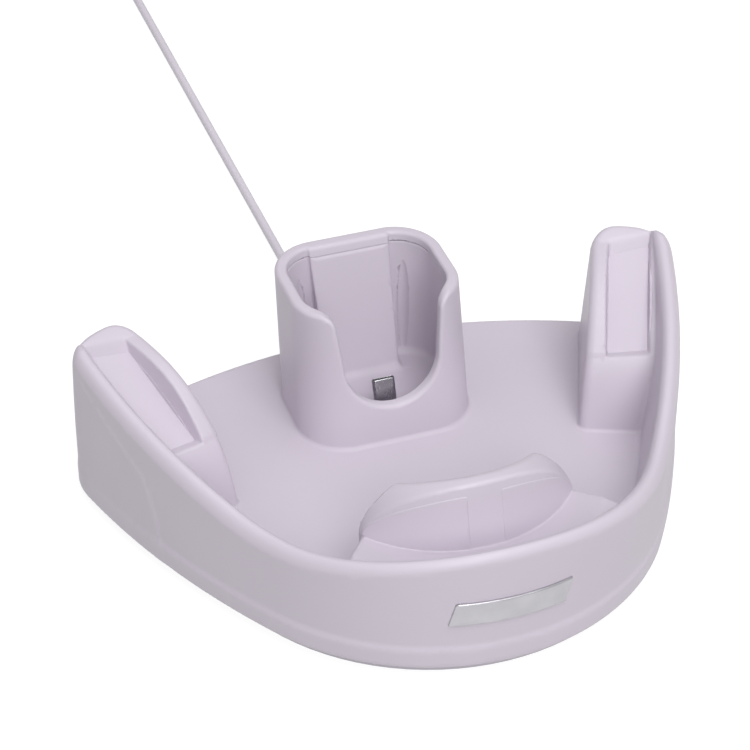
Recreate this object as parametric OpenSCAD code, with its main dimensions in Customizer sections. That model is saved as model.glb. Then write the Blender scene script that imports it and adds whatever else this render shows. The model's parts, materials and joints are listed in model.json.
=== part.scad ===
// Charging stand with two sloping posts, a low front rest and a leaning pocket.
// Frame: X to the right, front towards -Y, +Z up, table at z = 0,
// origin at the middle of the stand's footprint. Millimetres.

/* [Plan outline] */
// Distance from the front of the stand to its rear edge
depth = 174; // [168:1:180]
// Radius of the round front
front_r = 82; // [78:1:86]
// Heading at which the front arc runs into the flank
front_turn = 56; // [52:1:60]
// Radius of the slightly curved flanks
flank_r = 300; // [280:5:340]
// Heading at which the flank runs into the rear corner
flank_turn = 74.5; // [72:0.5:76]
// Radius of the shallow rear edge
rear_r = 217; // [205:1:240]

/* [Housing] */
// Lower edge of the housing above the table
skirt_z = 5; // [4:0.5:6]
// Top of the deck
deck_z = 12.5; // [11:0.5:14]
// Wall thickness of the housing
skin = 2.5; // [2:0.1:3]
// Lowest height of the rim, on both sides of the front
rim_low = 40; // [38:0.5:43]
// Highest point of the rim, on the posts
rim_top = 63.5; // [62:0.5:65]
// Width of the rim
rim_w = 6; // [5.5:0.1:7]
// Distance from the outline to the foot of the inner wall
foot_w = 11.5; // [10:0.5:13]

/* [Posts] */
// Turn of each post's length away from +Y
post_turn = 22.5; // [20:0.5:25]
// Slope of the ramp on each post
ramp_slope = 27; // [24:0.5:30]
// Height at which the ramp starts
ramp_z = 38; // [36:0.5:40]
// Width of the pad set into each ramp
pad_w = 14.7; // [12:0.1:15]
// Depth of each pad recess
recess_d = 4.5; // [3:0.1:5]

/* [Rest] */
// Height of the shelf in front of the rest
shelf_z = 34; // [32:0.5:36]
// Height of the rest at its middle
rest_z = 56; // [54:0.5:58]
// Radius of the rest's front face in plan
rest_r = 46; // [44:0.5:48]
// Half of the rest's length
rest_half = 37; // [35:0.5:38]

/* [Pocket] */
// Outer width of the pocket
pocket_w = 62; // [60:0.5:64]
// Outer depth of the pocket, square to its lean
pocket_d = 48.5; // [47:0.5:50]
// Lean of the pocket's outer walls
pocket_lean = 11; // [10:0.5:12]
// Height of the pocket's rim
pocket_z = 63; // [61:0.5:64]
// Half width of the front cut-out
cut_half = 18; // [16:0.5:19]
// Lowest point of the front cut-out
cut_z = 25.5; // [24:0.5:28]

/* [Connector] */
// Lean of the plug and of the pocket's back panel
plug_lean = 20; // [18:0.5:22]
// Width of the plug's metal shell
plug_w = 8.34; // [8.3:0.01:8.4]
// Thickness of the plug's metal shell
plug_t = 2.56; // [2.5:0.01:2.6]

/* [Cord] */
// Diameter of the cord
cord_d = 3.6; // [3.4:0.1:3.8]
// Height at which the cord leaves the housing
exit_z = 6.4; // [6.2:0.1:6.6]
// Length of the strain relief behind the housing
relief_len = 25; // [22:1:28]

/* [Hidden] */
$fn = 64;
eps = 0.02;
far = 200;

housing_colour = [0.86, 0.83, 0.88];
liner_colour = [0.80, 0.76, 0.82];
base_colour = [0.66, 0.63, 0.68];
pad_colour = [0.83, 0.79, 0.85];

// Plan outline: arcs joined end to end. A point on an arc of radius r about c
// with heading a is c + r (sin a, -cos a).
function on_arc(c, r, a) = [c[0] + r * sin(a), c[1] - r * cos(a)];
front_y = -depth / 2;
front_c = [0, front_y + front_r];
flank_c = on_arc(front_c, front_r - flank_r, front_turn);
rear_c = [0, depth / 2 - rear_r];
// The corner arc touches the flank and the rear arc: |corner - rear_c| = rear_r - corner_r.
flank_end = on_arc(flank_c, flank_r, flank_turn);
corner_b = [flank_end[0] - rear_c[0], flank_end[1] - rear_c[1]];
corner_k = -corner_b[0] * sin(flank_turn) + corner_b[1] * cos(flank_turn);
corner_r = (rear_r * rear_r - corner_b * corner_b) / (2 * (corner_k + rear_r));
corner_c = on_arc(flank_c, flank_r - corner_r, flank_turn);
corner_turn = 90 + atan2(corner_c[1] - rear_c[1], corner_c[0] - rear_c[0]);

function right_half(t) = concat(
    [for (i = [0 : 14]) on_arc(front_c, front_r - t, front_turn * i / 14)],
    [for (i = [1 : 7]) on_arc(flank_c, flank_r - t, front_turn + (flank_turn - front_turn) * i / 7)],
    [for (i = [1 : 9]) on_arc(corner_c, corner_r - t, flank_turn + (corner_turn - flank_turn) * i / 9)],
    [for (i = [1 : 7]) on_arc(rear_c, rear_r - t, corner_turn + (180 - corner_turn) * i / 7)]);
function left_half(pts) = [for (i = [len(pts) - 2 : -1 : 1]) [-pts[i][0], pts[i][1]]];

module outline(t) {
    pts = right_half(t);
    polygon(concat(pts, left_half(pts)));
}

// The bowl's plan keeps the front and flanks and runs straight out past the rear.
function bowl_half(t) = concat(
    [for (i = [0 : 10]) on_arc(front_c, front_r - t, front_turn * i / 10)],
    [for (i = [1 : 5]) on_arc(flank_c, flank_r - t, front_turn + (flank_turn - front_turn) * i / 5)],
    [on_arc(flank_c, flank_r - t, flank_turn) + 60 * [cos(flank_turn), sin(flank_turn)]]);

module bowl_plan(t) {
    pts = bowl_half(t);
    polygon(concat(pts, [for (i = [len(pts) - 1 : -1 : 1]) [-pts[i][0], pts[i][1]]]));
}

// Space inside the walls: foot_w from the outline at the deck, rim_w at the rim.
module bowl(grow) {
    hull() {
        translate([0, 0, deck_z - grow]) linear_extrude(eps) bowl_plan(foot_w - grow);
        translate([0, 0, rim_top + 6]) linear_extrude(eps) bowl_plan(rim_w - 1.5 - grow);
    }
}

// Rim height along Y: a shallow valley beside the front, then a steady climb.
valley_y = -50;
valley_k = 0.0069;
climb_y = -31;
climb = 2 * valley_k * (climb_y - valley_y);
function rim_at(y) = rim_low + valley_k * pow(min(y, climb_y) - valley_y, 2) + climb * max(0, y - climb_y);

module rim_profile(drop) {
    pts = [for (y = [-90 : 4 : 52]) [y, min(rim_top, rim_at(y)) - drop]];
    along_x() polygon(concat([[-90, -1]], pts, [[95, rim_top - drop], [95, -1]]));
}

// Extrudes a YZ outline right across the stand.
module along_x() {
    translate([-far, 0, 0]) rotate([90, 0, 90]) linear_extrude(2 * far) children();
}

// Wall around the bowl. Beside the posts it ends with the posts' own rounded backs.
module wall_band(t, drop) {
    difference() {
        intersection() {
            translate([0, 0, skirt_z - t]) linear_extrude(rim_top) outline(t);
            rim_profile(drop);
            union() {
                translate([-far, -far, -far]) cube([2 * far, far + 20, 2 * far]);
                post_prism(t);
                mirror([1, 0, 0]) post_prism(t);
            }
        }
        bowl(t);
    }
}

// Posts. Each post's own frame has X outwards, Y along the ramp and its origin
// at the post's front inner corner on the deck.
post_x = 66;
post_y = 10.8;
post_len = 62;
post_lean = 8;
post_corner = 10;
post_span = 38;
ramp_y = 2.5;

module post_frame() {
    translate([post_x, post_y, 0]) rotate([0, 0, -post_turn]) children();
}

// Side view of a post, pulled in by t and lowered by drop.
module post_side(t, drop) {
    top_y = ramp_y + (rim_top - ramp_z) / tan(ramp_slope);
    polygon([[t, -1], [t + ramp_y, ramp_z - drop], [top_y + t, rim_top - drop],
        [post_len + 5, rim_top - drop], [post_len + 5, -1]]);
}

// Plan of a post: its two rear corners are round.
module post_plan(t) {
    back = post_len - t;
    inner = post_corner + t;
    outer = 24;
    polygon(concat([[t, -5]],
        [for (a = [180 : -15 : 90])
            [inner + post_corner * cos(a), back - post_corner + post_corner * sin(a)]],
        [for (a = [90 : -15 : 30]) [outer + 12 * cos(a), back - 14 + 12 * sin(a)]],
        [[post_span, back - 24], [post_span, -5]]));
}

module post_prism(t) {
    post_frame() rotate([post_lean, 0, 0]) translate([0, 0, -20]) linear_extrude(120) post_plan(t);
}

module post_solid(t, drop) {
    intersection() {
        translate([0, 0, skirt_z - t]) linear_extrude(rim_top) outline(t);
        post_frame() translate([-10, 0, 0]) rotate([90, 0, 90]) linear_extrude(60) post_side(t, drop);
        post_prism(t);
    }
}

module ramp_frame() {
    post_frame() translate([0, ramp_y, ramp_z]) rotate([ramp_slope, 0, 0]) children();
}

// Pads on the ramps. A recess has upright sides, sloping ends and a flat floor.
pad_x = 6.5;
pad_start = 1;
pad_end = 45;
pad_turn = 26.5;
pad_t = 1.5;
end_slope = 42;

// Floor of the recess, pulled in by t. Its far end is nearly parallel to the stand's X axis.
module pad_plan(t) {
    run = recess_d / tan(end_slope);
    skew = (pad_w - 2 * t) * tan(pad_turn);
    polygon([[pad_x + t, pad_start + run + t], [pad_x + pad_w - t, pad_start + run + t],
        [pad_x + pad_w - t, pad_end - run - t + skew], [pad_x + t, pad_end - run - t]]);
}

// Everything above a plane through the ramp's surface at y, tilted about X.
module above_slope(y, turn, tilt) {
    translate([pad_x, y, 0]) rotate([0, 0, turn]) rotate([tilt, 0, 0])
        translate([-far, -far, 0]) cube([2 * far, 2 * far, far]);
}

module pad_recess() {
    ramp_frame() intersection() {
        translate([pad_x, -10, -recess_d]) cube([pad_w, 80, recess_d + 10]);
        above_slope(pad_start, 0, -end_slope);
        above_slope(pad_end, pad_turn, end_slope);
    }
}

module post_pad() {
    ramp_frame() translate([0, 0, -recess_d]) linear_extrude(pad_t) pad_plan(0.2);
}

// Front rest: an upright wall on an arc, its back face a cone down to the deck.
rest_c = -18.5;
rest_top_r = 38.5;
rest_foot_r = 24;
rest_pad_gap = 5.7;
rest_pad_t = 1.2;

function rest_at(x, half, top) = shelf_z + (top - shelf_z) * sqrt(max(0, 1 - pow(x / half, 2)));

rest_end_y = rest_c - sqrt(rest_r * rest_r - rest_half * rest_half);

// Half-oval outline of the rest, seen from the front.
module rest_face(inset) {
    half = rest_half - inset;
    pts = [for (i = [-12 : 12]) [half * sin(i * 7.5), rest_at(half * sin(i * 7.5), half, rest_z - inset)]];
    translate([0, rest_end_y - inset, 0]) rotate([90, 0, 0]) linear_extrude(far)
        polygon(concat([[-half, 4]], pts, [[half, 4]]));
}

module rest_back(grow) {
    rise = rest_top_r - rest_foot_r;
    low_r = rest_foot_r - rise * deck_z / (rest_z - deck_z);
    translate([0, rest_c, 0]) cylinder(r1 = low_r + grow, r2 = rest_top_r + rise * 0.2 + grow,
        h = rest_z + (rest_z - deck_z) * 0.2);
}

module shelf_plan(t) {
    crease = 1.2;
    intersection() {
        outline(3 + t);
        polygon([[-rest_half, rest_end_y - t], [rest_half, rest_end_y - t],
            [rest_half + 30, rest_end_y - 30 * crease - 1.5 * t], [rest_half + 30, -far],
            [-rest_half - 30, -far], [-rest_half - 30, rest_end_y - 30 * crease - 1.5 * t]]);
    }
}

module rest_solid() {
    difference() {
        union() {
            translate([0, 0, skirt_z]) linear_extrude(shelf_z - skirt_z) shelf_plan(0);
            intersection() {
                translate([0, rest_c, skirt_z]) cylinder(r = rest_r, h = rest_z);
                rest_face(0);
            }
        }
        rest_back(0);
    }
}

module rest_hollow() {
    difference() {
        union() {
            translate([0, 0, -1]) linear_extrude(shelf_z - skin + 1) shelf_plan(skin);
            intersection() {
                translate([0, rest_c, -1]) cylinder(r = rest_r - skin, h = rest_z);
                rest_face(skin);
            }
        }
        rest_back(skin);
    }
}

module rest_pad_zone(side) {
    x0 = side > 0 ? rest_pad_gap : -far;
    intersection() {
        rest_face(4.5);
        translate([x0, -far, shelf_z + 0.6]) cube([far - rest_pad_gap, far, far]);
    }
}

module rest_pad(side) {
    intersection() {
        translate([0, rest_c, 0]) difference() {
            cylinder(r = rest_r - 0.3, h = far);
            translate([0, 0, -1]) cylinder(r = rest_r - rest_pad_t, h = far + 2);
        }
        rest_pad_zone(side);
    }
}

module rest_pad_recess(side) {
    intersection() {
        translate([0, rest_c, 0]) difference() {
            cylinder(r = rest_r + 1, h = far);
            translate([0, 0, -1]) cylinder(r = rest_r - rest_pad_t, h = far + 2);
        }
        rest_pad_zone(side);
    }
}

// Pocket: a round-cornered prism that leans back. Its frame has Z along the lean.
pocket_y = 22.5;
pocket_corner = 17;
pocket_wall = 2.6;

module pocket_plan(t) {
    x = pocket_w / 2 - pocket_corner;
    y = pocket_d - pocket_corner;
    translate([-pocket_w / 2 + t, pocket_corner]) square([pocket_w - 2 * t, y - pocket_corner]);
    translate([-x, t]) square([2 * x, pocket_d - 2 * t]);
    for (sx = [-x, x], sy = [pocket_corner, y]) translate([sx, sy]) circle(pocket_corner - t);
}

module pocket_prism(t) {
    translate([0, pocket_y, deck_z]) rotate([-pocket_lean, 0, 0])
        translate([0, 0, -30]) linear_extrude(110) pocket_plan(t);
}

// Front cut-out, seen from the front: a round bottom under slightly flared sides.
module pocket_cut(grow) {
    mid = cut_z + cut_half;
    rotate([90, 0, 0]) translate([0, 0, -pocket_y - 25]) linear_extrude(60) {
        translate([0, mid]) circle(cut_half + grow);
        polygon([[-cut_half - grow, mid], [cut_half + grow, mid],
            [cut_half + 3 + grow, pocket_z + 2], [-cut_half - 3 - grow, pocket_z + 2]]);
    }
}

flange_z = 8.4;

module between(z0, z1) {
    translate([-far, -far, z0]) cube([2 * far, 2 * far, z1 - z0]);
}

// Fastening places.
cover_screw_at = [[0, -75], [62, -24], [-62, -24], [55, 24], [-55, 24], [58, 64], [-58, 64]];
foot_at = [[0, -62], [76, 2], [-76, 2], [70, 52], [-70, 52]];

module at_each(places) {
    for (p = places) translate([p[0], p[1], 0]) children();
}

// Screw seen from below: head at z0, shank upwards.
module screw_up(z0, head_d, head_h, shank_d, shank_h) {
    translate([0, 0, z0]) difference() {
        cylinder(d = head_d, h = head_h);
        translate([0, 0, -eps]) cylinder(d = head_d * 0.42, h = head_h * 0.6, $fn = 6);
    }
    translate([0, 0, z0 + head_h - eps]) cylinder(d = shank_d, h = shank_h);
}

// The posts are hollow up to a skin below the pad recesses.
post_drop = (recess_d + skin) / cos(ramp_slope);

module housing_hollow() {
    translate([0, 0, -1]) linear_extrude(deck_z - skin + 1) outline(skin);
    wall_band(skin, 7);
    post_solid(skin, post_drop);
    mirror([1, 0, 0]) post_solid(skin, post_drop);
    rest_hollow();
}

relief_d = 6;

module relief_slot(grow) {
    d = relief_d + 2 * grow;
    rotate([-90, 0, 0]) translate([0, -exit_z, 60]) cylinder(d = d, h = 60);
}

module top_housing() {
    color(housing_colour) difference() {
        union() {
            difference() {
                union() {
                    translate([0, 0, skirt_z]) linear_extrude(deck_z - skirt_z) outline(0);
                    wall_band(0, 0);
                    post_solid(0, 0);
                    mirror([1, 0, 0]) post_solid(0, 0);
                    rest_solid();
                }
                housing_hollow();
            }
            intersection() {
                union() {
                    at_each(cover_screw_at) translate([0, 0, 3.6]) cylinder(d = 7, h = deck_z - 4.6);
                    translate([0, -75, 3.6]) cylinder(d = 7, h = shelf_z - 4.6);
                }
                translate([0, 0, 3]) linear_extrude(40) outline(1);
            }
        }
        between(-10, 3.6);
        at_each(cover_screw_at) translate([0, 0, 3]) cylinder(d = 2.7, h = 8);
        pad_recess();
        mirror([1, 0, 0]) pad_recess();
        rest_pad_recess(1);
        rest_pad_recess(-1);
        pocket_hole();
        relief_slot(0.1);
        translate([-relief_d / 2 - 0.1, 80, 0]) cube([relief_d + 0.2, 20, exit_z]);
        badge_recess();
    }
}

module pocket_hole() {
    intersection() {
        pocket_prism(-0.1);
        between(deck_z - 6, deck_z + 6);
    }
}

// The liner hangs inside the shell; together they make up the pocket's wall.
liner_gap = 0.15;
liner_t = 1.6;
liner_top = pocket_z - 4;
liner_floor = 15.5;
cut_band = 4;

// Flat raised panel on the pocket's back wall, leaning like the plug. It passes panel_y at the rim.
panel_y = 76.6;
panel_half = 15;

module behind_panel(half, t) {
    translate([0, panel_y, pocket_z]) rotate([-plug_lean, 0, 0])
        translate([-half, t, -80]) cube([2 * half, 60, 120]);
}

module pocket_room() {
    difference() {
        pocket_prism(pocket_wall + liner_gap + liner_t);
        behind_panel(panel_half, 0);
    }
}

// Outer sleeve, full thickness at the rim and round the cut-out, rebated for the liner elsewhere.
module pocket_shell() {
    color(housing_colour) difference() {
        union() {
            intersection() {
                pocket_prism(0);
                between(flange_z, pocket_z);
            }
            intersection() {
                pocket_prism(-4);
                between(flange_z, deck_z - skin - 0.1);
            }
        }
        pocket_room();
        difference() {
            intersection() {
                pocket_prism(pocket_wall);
                between(-10, liner_top + liner_gap);
            }
            pocket_cut(cut_band);
        }
        pocket_cut(0);
    }
}

module pocket_liner() {
    color(liner_colour) difference() {
        union() {
            difference() {
                intersection() {
                    pocket_prism(pocket_wall + liner_gap);
                    between(liner_floor - liner_t, liner_top);
                }
                intersection() {
                    pocket_room();
                    between(liner_floor, pocket_z + 10);
                }
                intersection() {
                    pocket_prism(pocket_wall + liner_gap + liner_t);
                    behind_panel(panel_half - liner_t, liner_t);
                    between(liner_floor, pocket_z + 10);
                }
            }
            at_each(bracket_screw_at) translate([0, 0, boss_z])
                cylinder(d = 5.4, h = liner_floor - 1.3 - boss_z);
        }
        pocket_cut(cut_band + 0.2);
        at_each(bracket_screw_at) translate([0, 0, bracket_z]) cylinder(d = 2.1, h = 7.5);
        carrier_window();
    }
}

// Bottom cover: a tray whose rim tucks inside the housing's skirt.
cover_z = 1.2;
cover_t = 2.2;
cover_in = 3;
cover_rim = 2.2;
foot_d = 12;

module bottom_cover() {
    top = cover_z + cover_t;
    color(base_colour) difference() {
        union() {
            translate([0, 0, cover_z]) linear_extrude(cover_t) outline(cover_in);
            translate([0, 0, cover_z]) difference() {
                linear_extrude(8 - cover_z) outline(cover_in);
                translate([0, 0, -1]) linear_extrude(10) outline(cover_in + cover_rim);
            }
            at_each(clamp_screw_at) translate([0, 0, top - eps]) cylinder(d = 5, h = flange_z - top);
        }
        at_each(cover_screw_at) translate([0, 0, 0]) cylinder(d = 3, h = 6);
        at_each(cover_screw_at) translate([0, 0, 0]) cylinder(d = 5.8, h = cover_z + 1.3);
        at_each(cover_screw_at) translate([0, 0, top]) cylinder(d = 7.6, h = 6);
        at_each(foot_at) cylinder(d = foot_d + 0.2, h = cover_z + 0.4);
        at_each(clamp_screw_at) translate([0, 0, top]) cylinder(d = 2.1, h = 8);
        relief_slot(0.1);
        translate([-relief_d / 2 - 0.1, 70, exit_z]) cube([relief_d + 0.2, 20, 10]);
    }
}

module rubber_feet() {
    color([0.30, 0.29, 0.31]) at_each(foot_at) cylinder(d = foot_d, h = cover_z + 0.4);
}

module cover_screws() {
    color("silver") at_each(cover_screw_at) screw_up(cover_z + 0.1, 5.6, 1.2, 2.6, 7);
}

module right_post_pad() {
    color(pad_colour) post_pad();
}

module left_post_pad() {
    color(pad_colour) mirror([1, 0, 0]) post_pad();
}

module right_rest_pad() {
    color(pad_colour) rest_pad(1);
}

module left_rest_pad() {
    color(pad_colour) rest_pad(-1);
}

// Plain slanted bar on the front wall.
badge_w = 40;
badge_h = 9;
badge_t = 1.4;
badge_z = 27.5;
badge_sink = 0.6;

module badge_bar(w, h) {
    slant = 2.4;
    rotate([90, 0, 0]) linear_extrude(far) polygon([[-w / 2 - slant / 2, badge_z - h / 2],
        [w / 2 - slant / 2, badge_z - h / 2], [w / 2 + slant / 2, badge_z + h / 2],
        [-w / 2 + slant / 2, badge_z + h / 2]]);
}

module front_skin(r0, r1) {
    translate([front_c[0], front_c[1], 0]) difference() {
        cylinder(r = r1, h = 60, $fn = 180);
        translate([0, 0, -1]) cylinder(r = r0, h = 62, $fn = 180);
    }
}

module badge() {
    color("silver") intersection() {
        front_skin(front_r - badge_sink, front_r - badge_sink + badge_t);
        badge_bar(badge_w, badge_h);
    }
}

module badge_recess() {
    intersection() {
        front_skin(front_r - badge_sink, front_r + 5);
        badge_bar(badge_w + 0.3, badge_h + 0.3);
    }
}

// Connector. Its frame has the origin on the pin and Z along the plug.
pin_y = 32.2;
pin_z = 9.6;
pin_d = 2;
carrier_w = 13;
carrier_t = 7;
carrier_low = -3;
carrier_top = 10.4;
plug_tip = 19.8;
plug_wall = 0.3;
ear_x = 8.1;
ear_t = 2;
bracket_z = 4.4;
bracket_t = 1.6;
boss_z = bracket_z + bracket_t + 0.1;
bracket_screw_at = [[17, 31], [-17, 31], [20, 46], [-20, 46]];

module plug_frame() {
    translate([0, pin_y, pin_z]) rotate([-plug_lean, 0, 0]) children();
}

// Round-ended slot of width w and thickness t.
module slot(w, t) {
    square([w - t, t], center = true);
    translate([(w - t) / 2, 0]) circle(d = t);
    translate([(t - w) / 2, 0]) circle(d = t);
}

module plug_shell() {
    color([0.75, 0.75, 0.77]) plug_frame() translate([0, 0, 2]) difference() {
        linear_extrude(plug_tip - 2) slot(plug_w, plug_t);
        translate([0, 0, -1]) linear_extrude(plug_tip) slot(plug_w - 2 * plug_wall, plug_t - 2 * plug_wall);
    }
}

tongue_w = 6.7;
tongue_t = 0.8;

module plug_insulator() {
    color([0.16, 0.16, 0.17]) plug_frame() translate([0, 0, 2.2]) difference() {
        linear_extrude(plug_tip - 3.2) slot(plug_w - 2 * plug_wall, plug_t - 2 * plug_wall);
        translate([0, 0, plug_tip - 9]) linear_extrude(12) square([tongue_w, tongue_t], center = true);
    }
}

module plug_contacts() {
    color("gold") plug_frame() for (i = [-3.5 : 3.5], s = [-1, 1])
        translate([i * 0.75 - 0.15, s * (tongue_t / 2 - 0.08) - 0.07, plug_tip - 6.7])
            cube([0.3, 0.14, 4.6]);
}

module plug_carrier() {
    color([0.72, 0.69, 0.74]) plug_frame() difference() {
        translate([0, 0, carrier_low]) linear_extrude(carrier_top - carrier_low) carrier_plan();
        translate([0, 0, 2]) linear_extrude(20) slot(plug_w, plug_t);
        translate([-20, 0, 0]) rotate([0, 90, 0]) cylinder(d = pin_d + 0.1, h = 40);
    }
}

module carrier_plan() {
    r = 1.5;
    x = carrier_w / 2 - r;
    y = carrier_t / 2 - r;
    square([carrier_w, carrier_t - 2 * r], center = true);
    square([carrier_w - 2 * r, carrier_t], center = true);
    for (sx = [-x, x], sy = [-y, y]) translate([sx, sy]) circle(r);
}

module carrier_window() {
    w = carrier_w + 1.4;
    plug_frame() translate([-w / 2, -carrier_t / 2 - 1.3, -4]) cube([w, carrier_t + 2.6, 40]);
}

module carrier_pin() {
    color("silver") translate([-ear_x - ear_t, pin_y, pin_z]) rotate([0, 90, 0])
        cylinder(d = pin_d, h = 2 * (ear_x + ear_t));
}

// Torsion springs on the pin, wound turn against turn: one leg up the carrier's side, one down.
spring_r = 1.45;
spring_wire = 0.3;
spring_x = carrier_w / 2 + 0.3;
spring_len = 0.9;

module carrier_springs() {
    color([0.8, 0.8, 0.82]) for (side = [0, 1])
        translate([0, pin_y, pin_z]) mirror([side, 0, 0]) translate([spring_x, 0, 0]) {
            rotate([0, 90, 0]) difference() {
                cylinder(r = spring_r + spring_wire / 2, h = spring_len);
                translate([0, 0, -1]) cylinder(r = spring_r - spring_wire / 2, h = spring_len + 2);
            }
            translate([spring_wire / 2, spring_r, 0]) cylinder(d = spring_wire, h = 4, $fn = 16);
            translate([spring_len - spring_wire / 2, spring_r, -2.8])
                cylinder(d = spring_wire, h = 2.8, $fn = 16);
        }
}

module carrier_bracket() {
    color([0.70, 0.67, 0.72]) difference() {
        union() {
            translate([-25, 25, bracket_z]) cube([50, 25.5, bracket_t]);
            for (s = [-1, 1]) translate([s * (ear_x + ear_t / 2) - ear_t / 2, pin_y - 3, bracket_z])
                cube([ear_t, 6, pin_z + 3 - bracket_z]);
        }
        translate([-7.6, 27, bracket_z - 1]) cube([15.2, 30, bracket_t + 2]);
        at_each(bracket_screw_at) translate([0, 0, bracket_z - 1]) cylinder(d = 2.4, h = 5);
        translate([-20, pin_y, pin_z]) rotate([0, 90, 0]) cylinder(d = pin_d + 0.04, h = 40);
    }
}

module bracket_screws() {
    color("silver") at_each(bracket_screw_at) screw_up(bracket_z - 0.9, 3.8, 0.9, 2, 7);
}

// Circuit board on the carrier's back, below the pocket's floor.
board_y = carrier_t / 2;
board_t = 1;

module connector_board() {
    color([0.12, 0.35, 0.22]) plug_frame() translate([-6.3, board_y, -2.6]) cube([12.6, board_t, 5.6]);
}

module board_parts() {
    color([0.10, 0.10, 0.11]) plug_frame() translate([0, board_y + board_t, 0]) {
        translate([-4.8, 0, -1.4]) cube([3.6, 0.9, 3.2]);
        translate([0.4, 0, 0.9]) cube([1.6, 0.7, 0.9]);
        translate([3.2, 0, 0.9]) cube([1.6, 0.7, 0.9]);
        translate([1.2, 0, -1.4]) cube([2.6, 0.8, 1.6]);
    }
}

// Cord entry.
lead_end_y = 38.2;
relief_tip_y = depth / 2 + relief_len;

module inner_lead() {
    color([0.84, 0.81, 0.86]) translate([0, lead_end_y, exit_z]) rotate([-90, 0, 0])
        cylinder(d = cord_d, h = relief_tip_y - lead_end_y);
}

module strain_relief() {
    wall_in = depth / 2 - skin - 0.2;
    color([0.82, 0.79, 0.84]) difference() {
        translate([0, 0, exit_z]) rotate([-90, 0, 0]) {
            translate([0, 0, 78.2]) cylinder(d = relief_d - 1.2, h = relief_tip_y - 78.2 - relief_len + 4);
            translate([0, 0, depth / 2 - 6]) cylinder(d = relief_d, h = 7);
            translate([0, 0, depth / 2 + 1]) cylinder(d1 = relief_d, d2 = cord_d + 1, h = relief_len - 1);
        }
        translate([0, 70, exit_z]) rotate([-90, 0, 0]) cylinder(d = cord_d, h = 100);
    }
    color([0.82, 0.79, 0.84]) difference() {
        translate([-4.5, 76.6, cover_z + cover_t + 0.1]) cube([9, 2, 5.9]);
        translate([0, 70, exit_z]) rotate([-90, 0, 0]) cylinder(d = cord_d, h = 100);
    }
}

clamp_screw_at = [[7, 60], [-7, 60]];

module cable_clamp() {
    color([0.70, 0.67, 0.72]) difference() {
        translate([-10, 57, flange_z]) cube([20, 6, 1.6]);
        at_each(clamp_screw_at) translate([0, 0, flange_z - 1]) cylinder(d = 2.3, h = 5);
    }
    lead_top = exit_z + cord_d / 2;
    color([0.70, 0.67, 0.72]) translate([-2.5, 57, lead_top]) cube([5, 6, flange_z + eps - lead_top]);
}

module clamp_screws() {
    color("silver") at_each(clamp_screw_at) translate([0, 0, flange_z + 1.6]) mirror([0, 0, 1])
        screw_up(-1, 3.8, 1, 2, 5.6);
}

ballast_z = 4;

module ballast_plan(t) {
    hull() for (x = [-34 + t, 34 - t], y = [-52 + t, -12 - t]) translate([x, y]) circle(6);
}

module ballast_plate() {
    color([0.55, 0.56, 0.58]) translate([0, 0, ballast_z]) linear_extrude(3) ballast_plan(0);
}

module ballast_tape() {
    floor_z = cover_z + cover_t;
    color([0.2, 0.2, 0.2]) translate([0, 0, floor_z]) linear_extrude(ballast_z - floor_z) ballast_plan(3);
}

// Tube of radius r swept along a list of points. Every ring is square to the path.
function unit(v) = v / norm(v);
function heading(p, i) = unit(p[min(i + 1, len(p) - 1)] - p[max(i - 1, 0)]);

module tube_along(path, r, sides) {
    n = len(path);
    points = [for (i = [0 : n - 1]) let (d = heading(path, i), s = unit(cross(d, [0, 0, 1])), u = cross(s, d))
        for (k = [0 : sides - 1]) path[i] + r * (cos(k * 360 / sides) * s + sin(k * 360 / sides) * u)];
    walls = [for (i = [0 : n - 2], k = [0 : sides - 1]) let (m = (k + 1) % sides)
        [i * sides + k, i * sides + m, (i + 1) * sides + m, (i + 1) * sides + k]];
    polyhedron(points, concat([[for (k = [sides - 1 : -1 : 0]) k]], walls,
        [[for (k = [0 : sides - 1]) (n - 1) * sides + k]]));
}

// Smooth curve through hand-set points.
function spline_at(a, b, c, d, t) = 0.5 * ((2 * b) + (c - a) * t + (2 * a - 5 * b + 4 * c - d) * t * t
    + (3 * b - a - 3 * c + d) * t * t * t);
function smooth(p, n) = concat([for (i = [0 : len(p) - 2], k = [0 : n - 1])
    spline_at(p[max(i - 1, 0)], p[i], p[i + 1], p[min(i + 2, len(p) - 1)], k / n)], [p[len(p) - 1]]);

// Cord: out of the strain relief, down to the table, straight back, then onto the coil.
coil_x = 27;
coil_y = 428;
coil_lift = 0.9;
coil_in = 14.3;
coil_out = 28.9;
coil_h = 7.3;
cord_route = [[0, 112, 6.4], [0, 118, 6.3], [0, 128, 5.2], [0, 140, 3], [0, 152, 1.9], [0, 166, 1.8],
    [0, 190, 1.8], [0, 220, 1.8], [0, 250, 1.8], [0, 285, 1.8], [0, 320, 1.8], [0, 350, 1.8],
    [0, 376, 1.8], [0, 394, 2.4], [0, 408, 4.4], [0, 420, 6], [0, 428, 6.3]];
tail_route = [[27, 455, 2.7], [34, 454.5, 2.5], [43, 452, 2.1], [51, 447, 2], [57, 440, 2.3],
    [60.5, 431, 3], [61.5, 422, 3.6], [61.5, 416, 3.8]];

module cord() {
    color([0.84, 0.81, 0.86]) tube_along(smooth(cord_route, 2), cord_d / 2, 8);
}

module cord_tail() {
    color([0.84, 0.81, 0.86]) tube_along(smooth(tail_route, 2), cord_d / 2, 8);
}

module coil_section() {
    translate([coil_in, 0]) square([coil_out - coil_in, coil_h]);
}

module cord_coil() {
    color([0.84, 0.81, 0.86]) translate([coil_x, coil_y, coil_lift]) rotate_extrude() coil_section();
}

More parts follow.
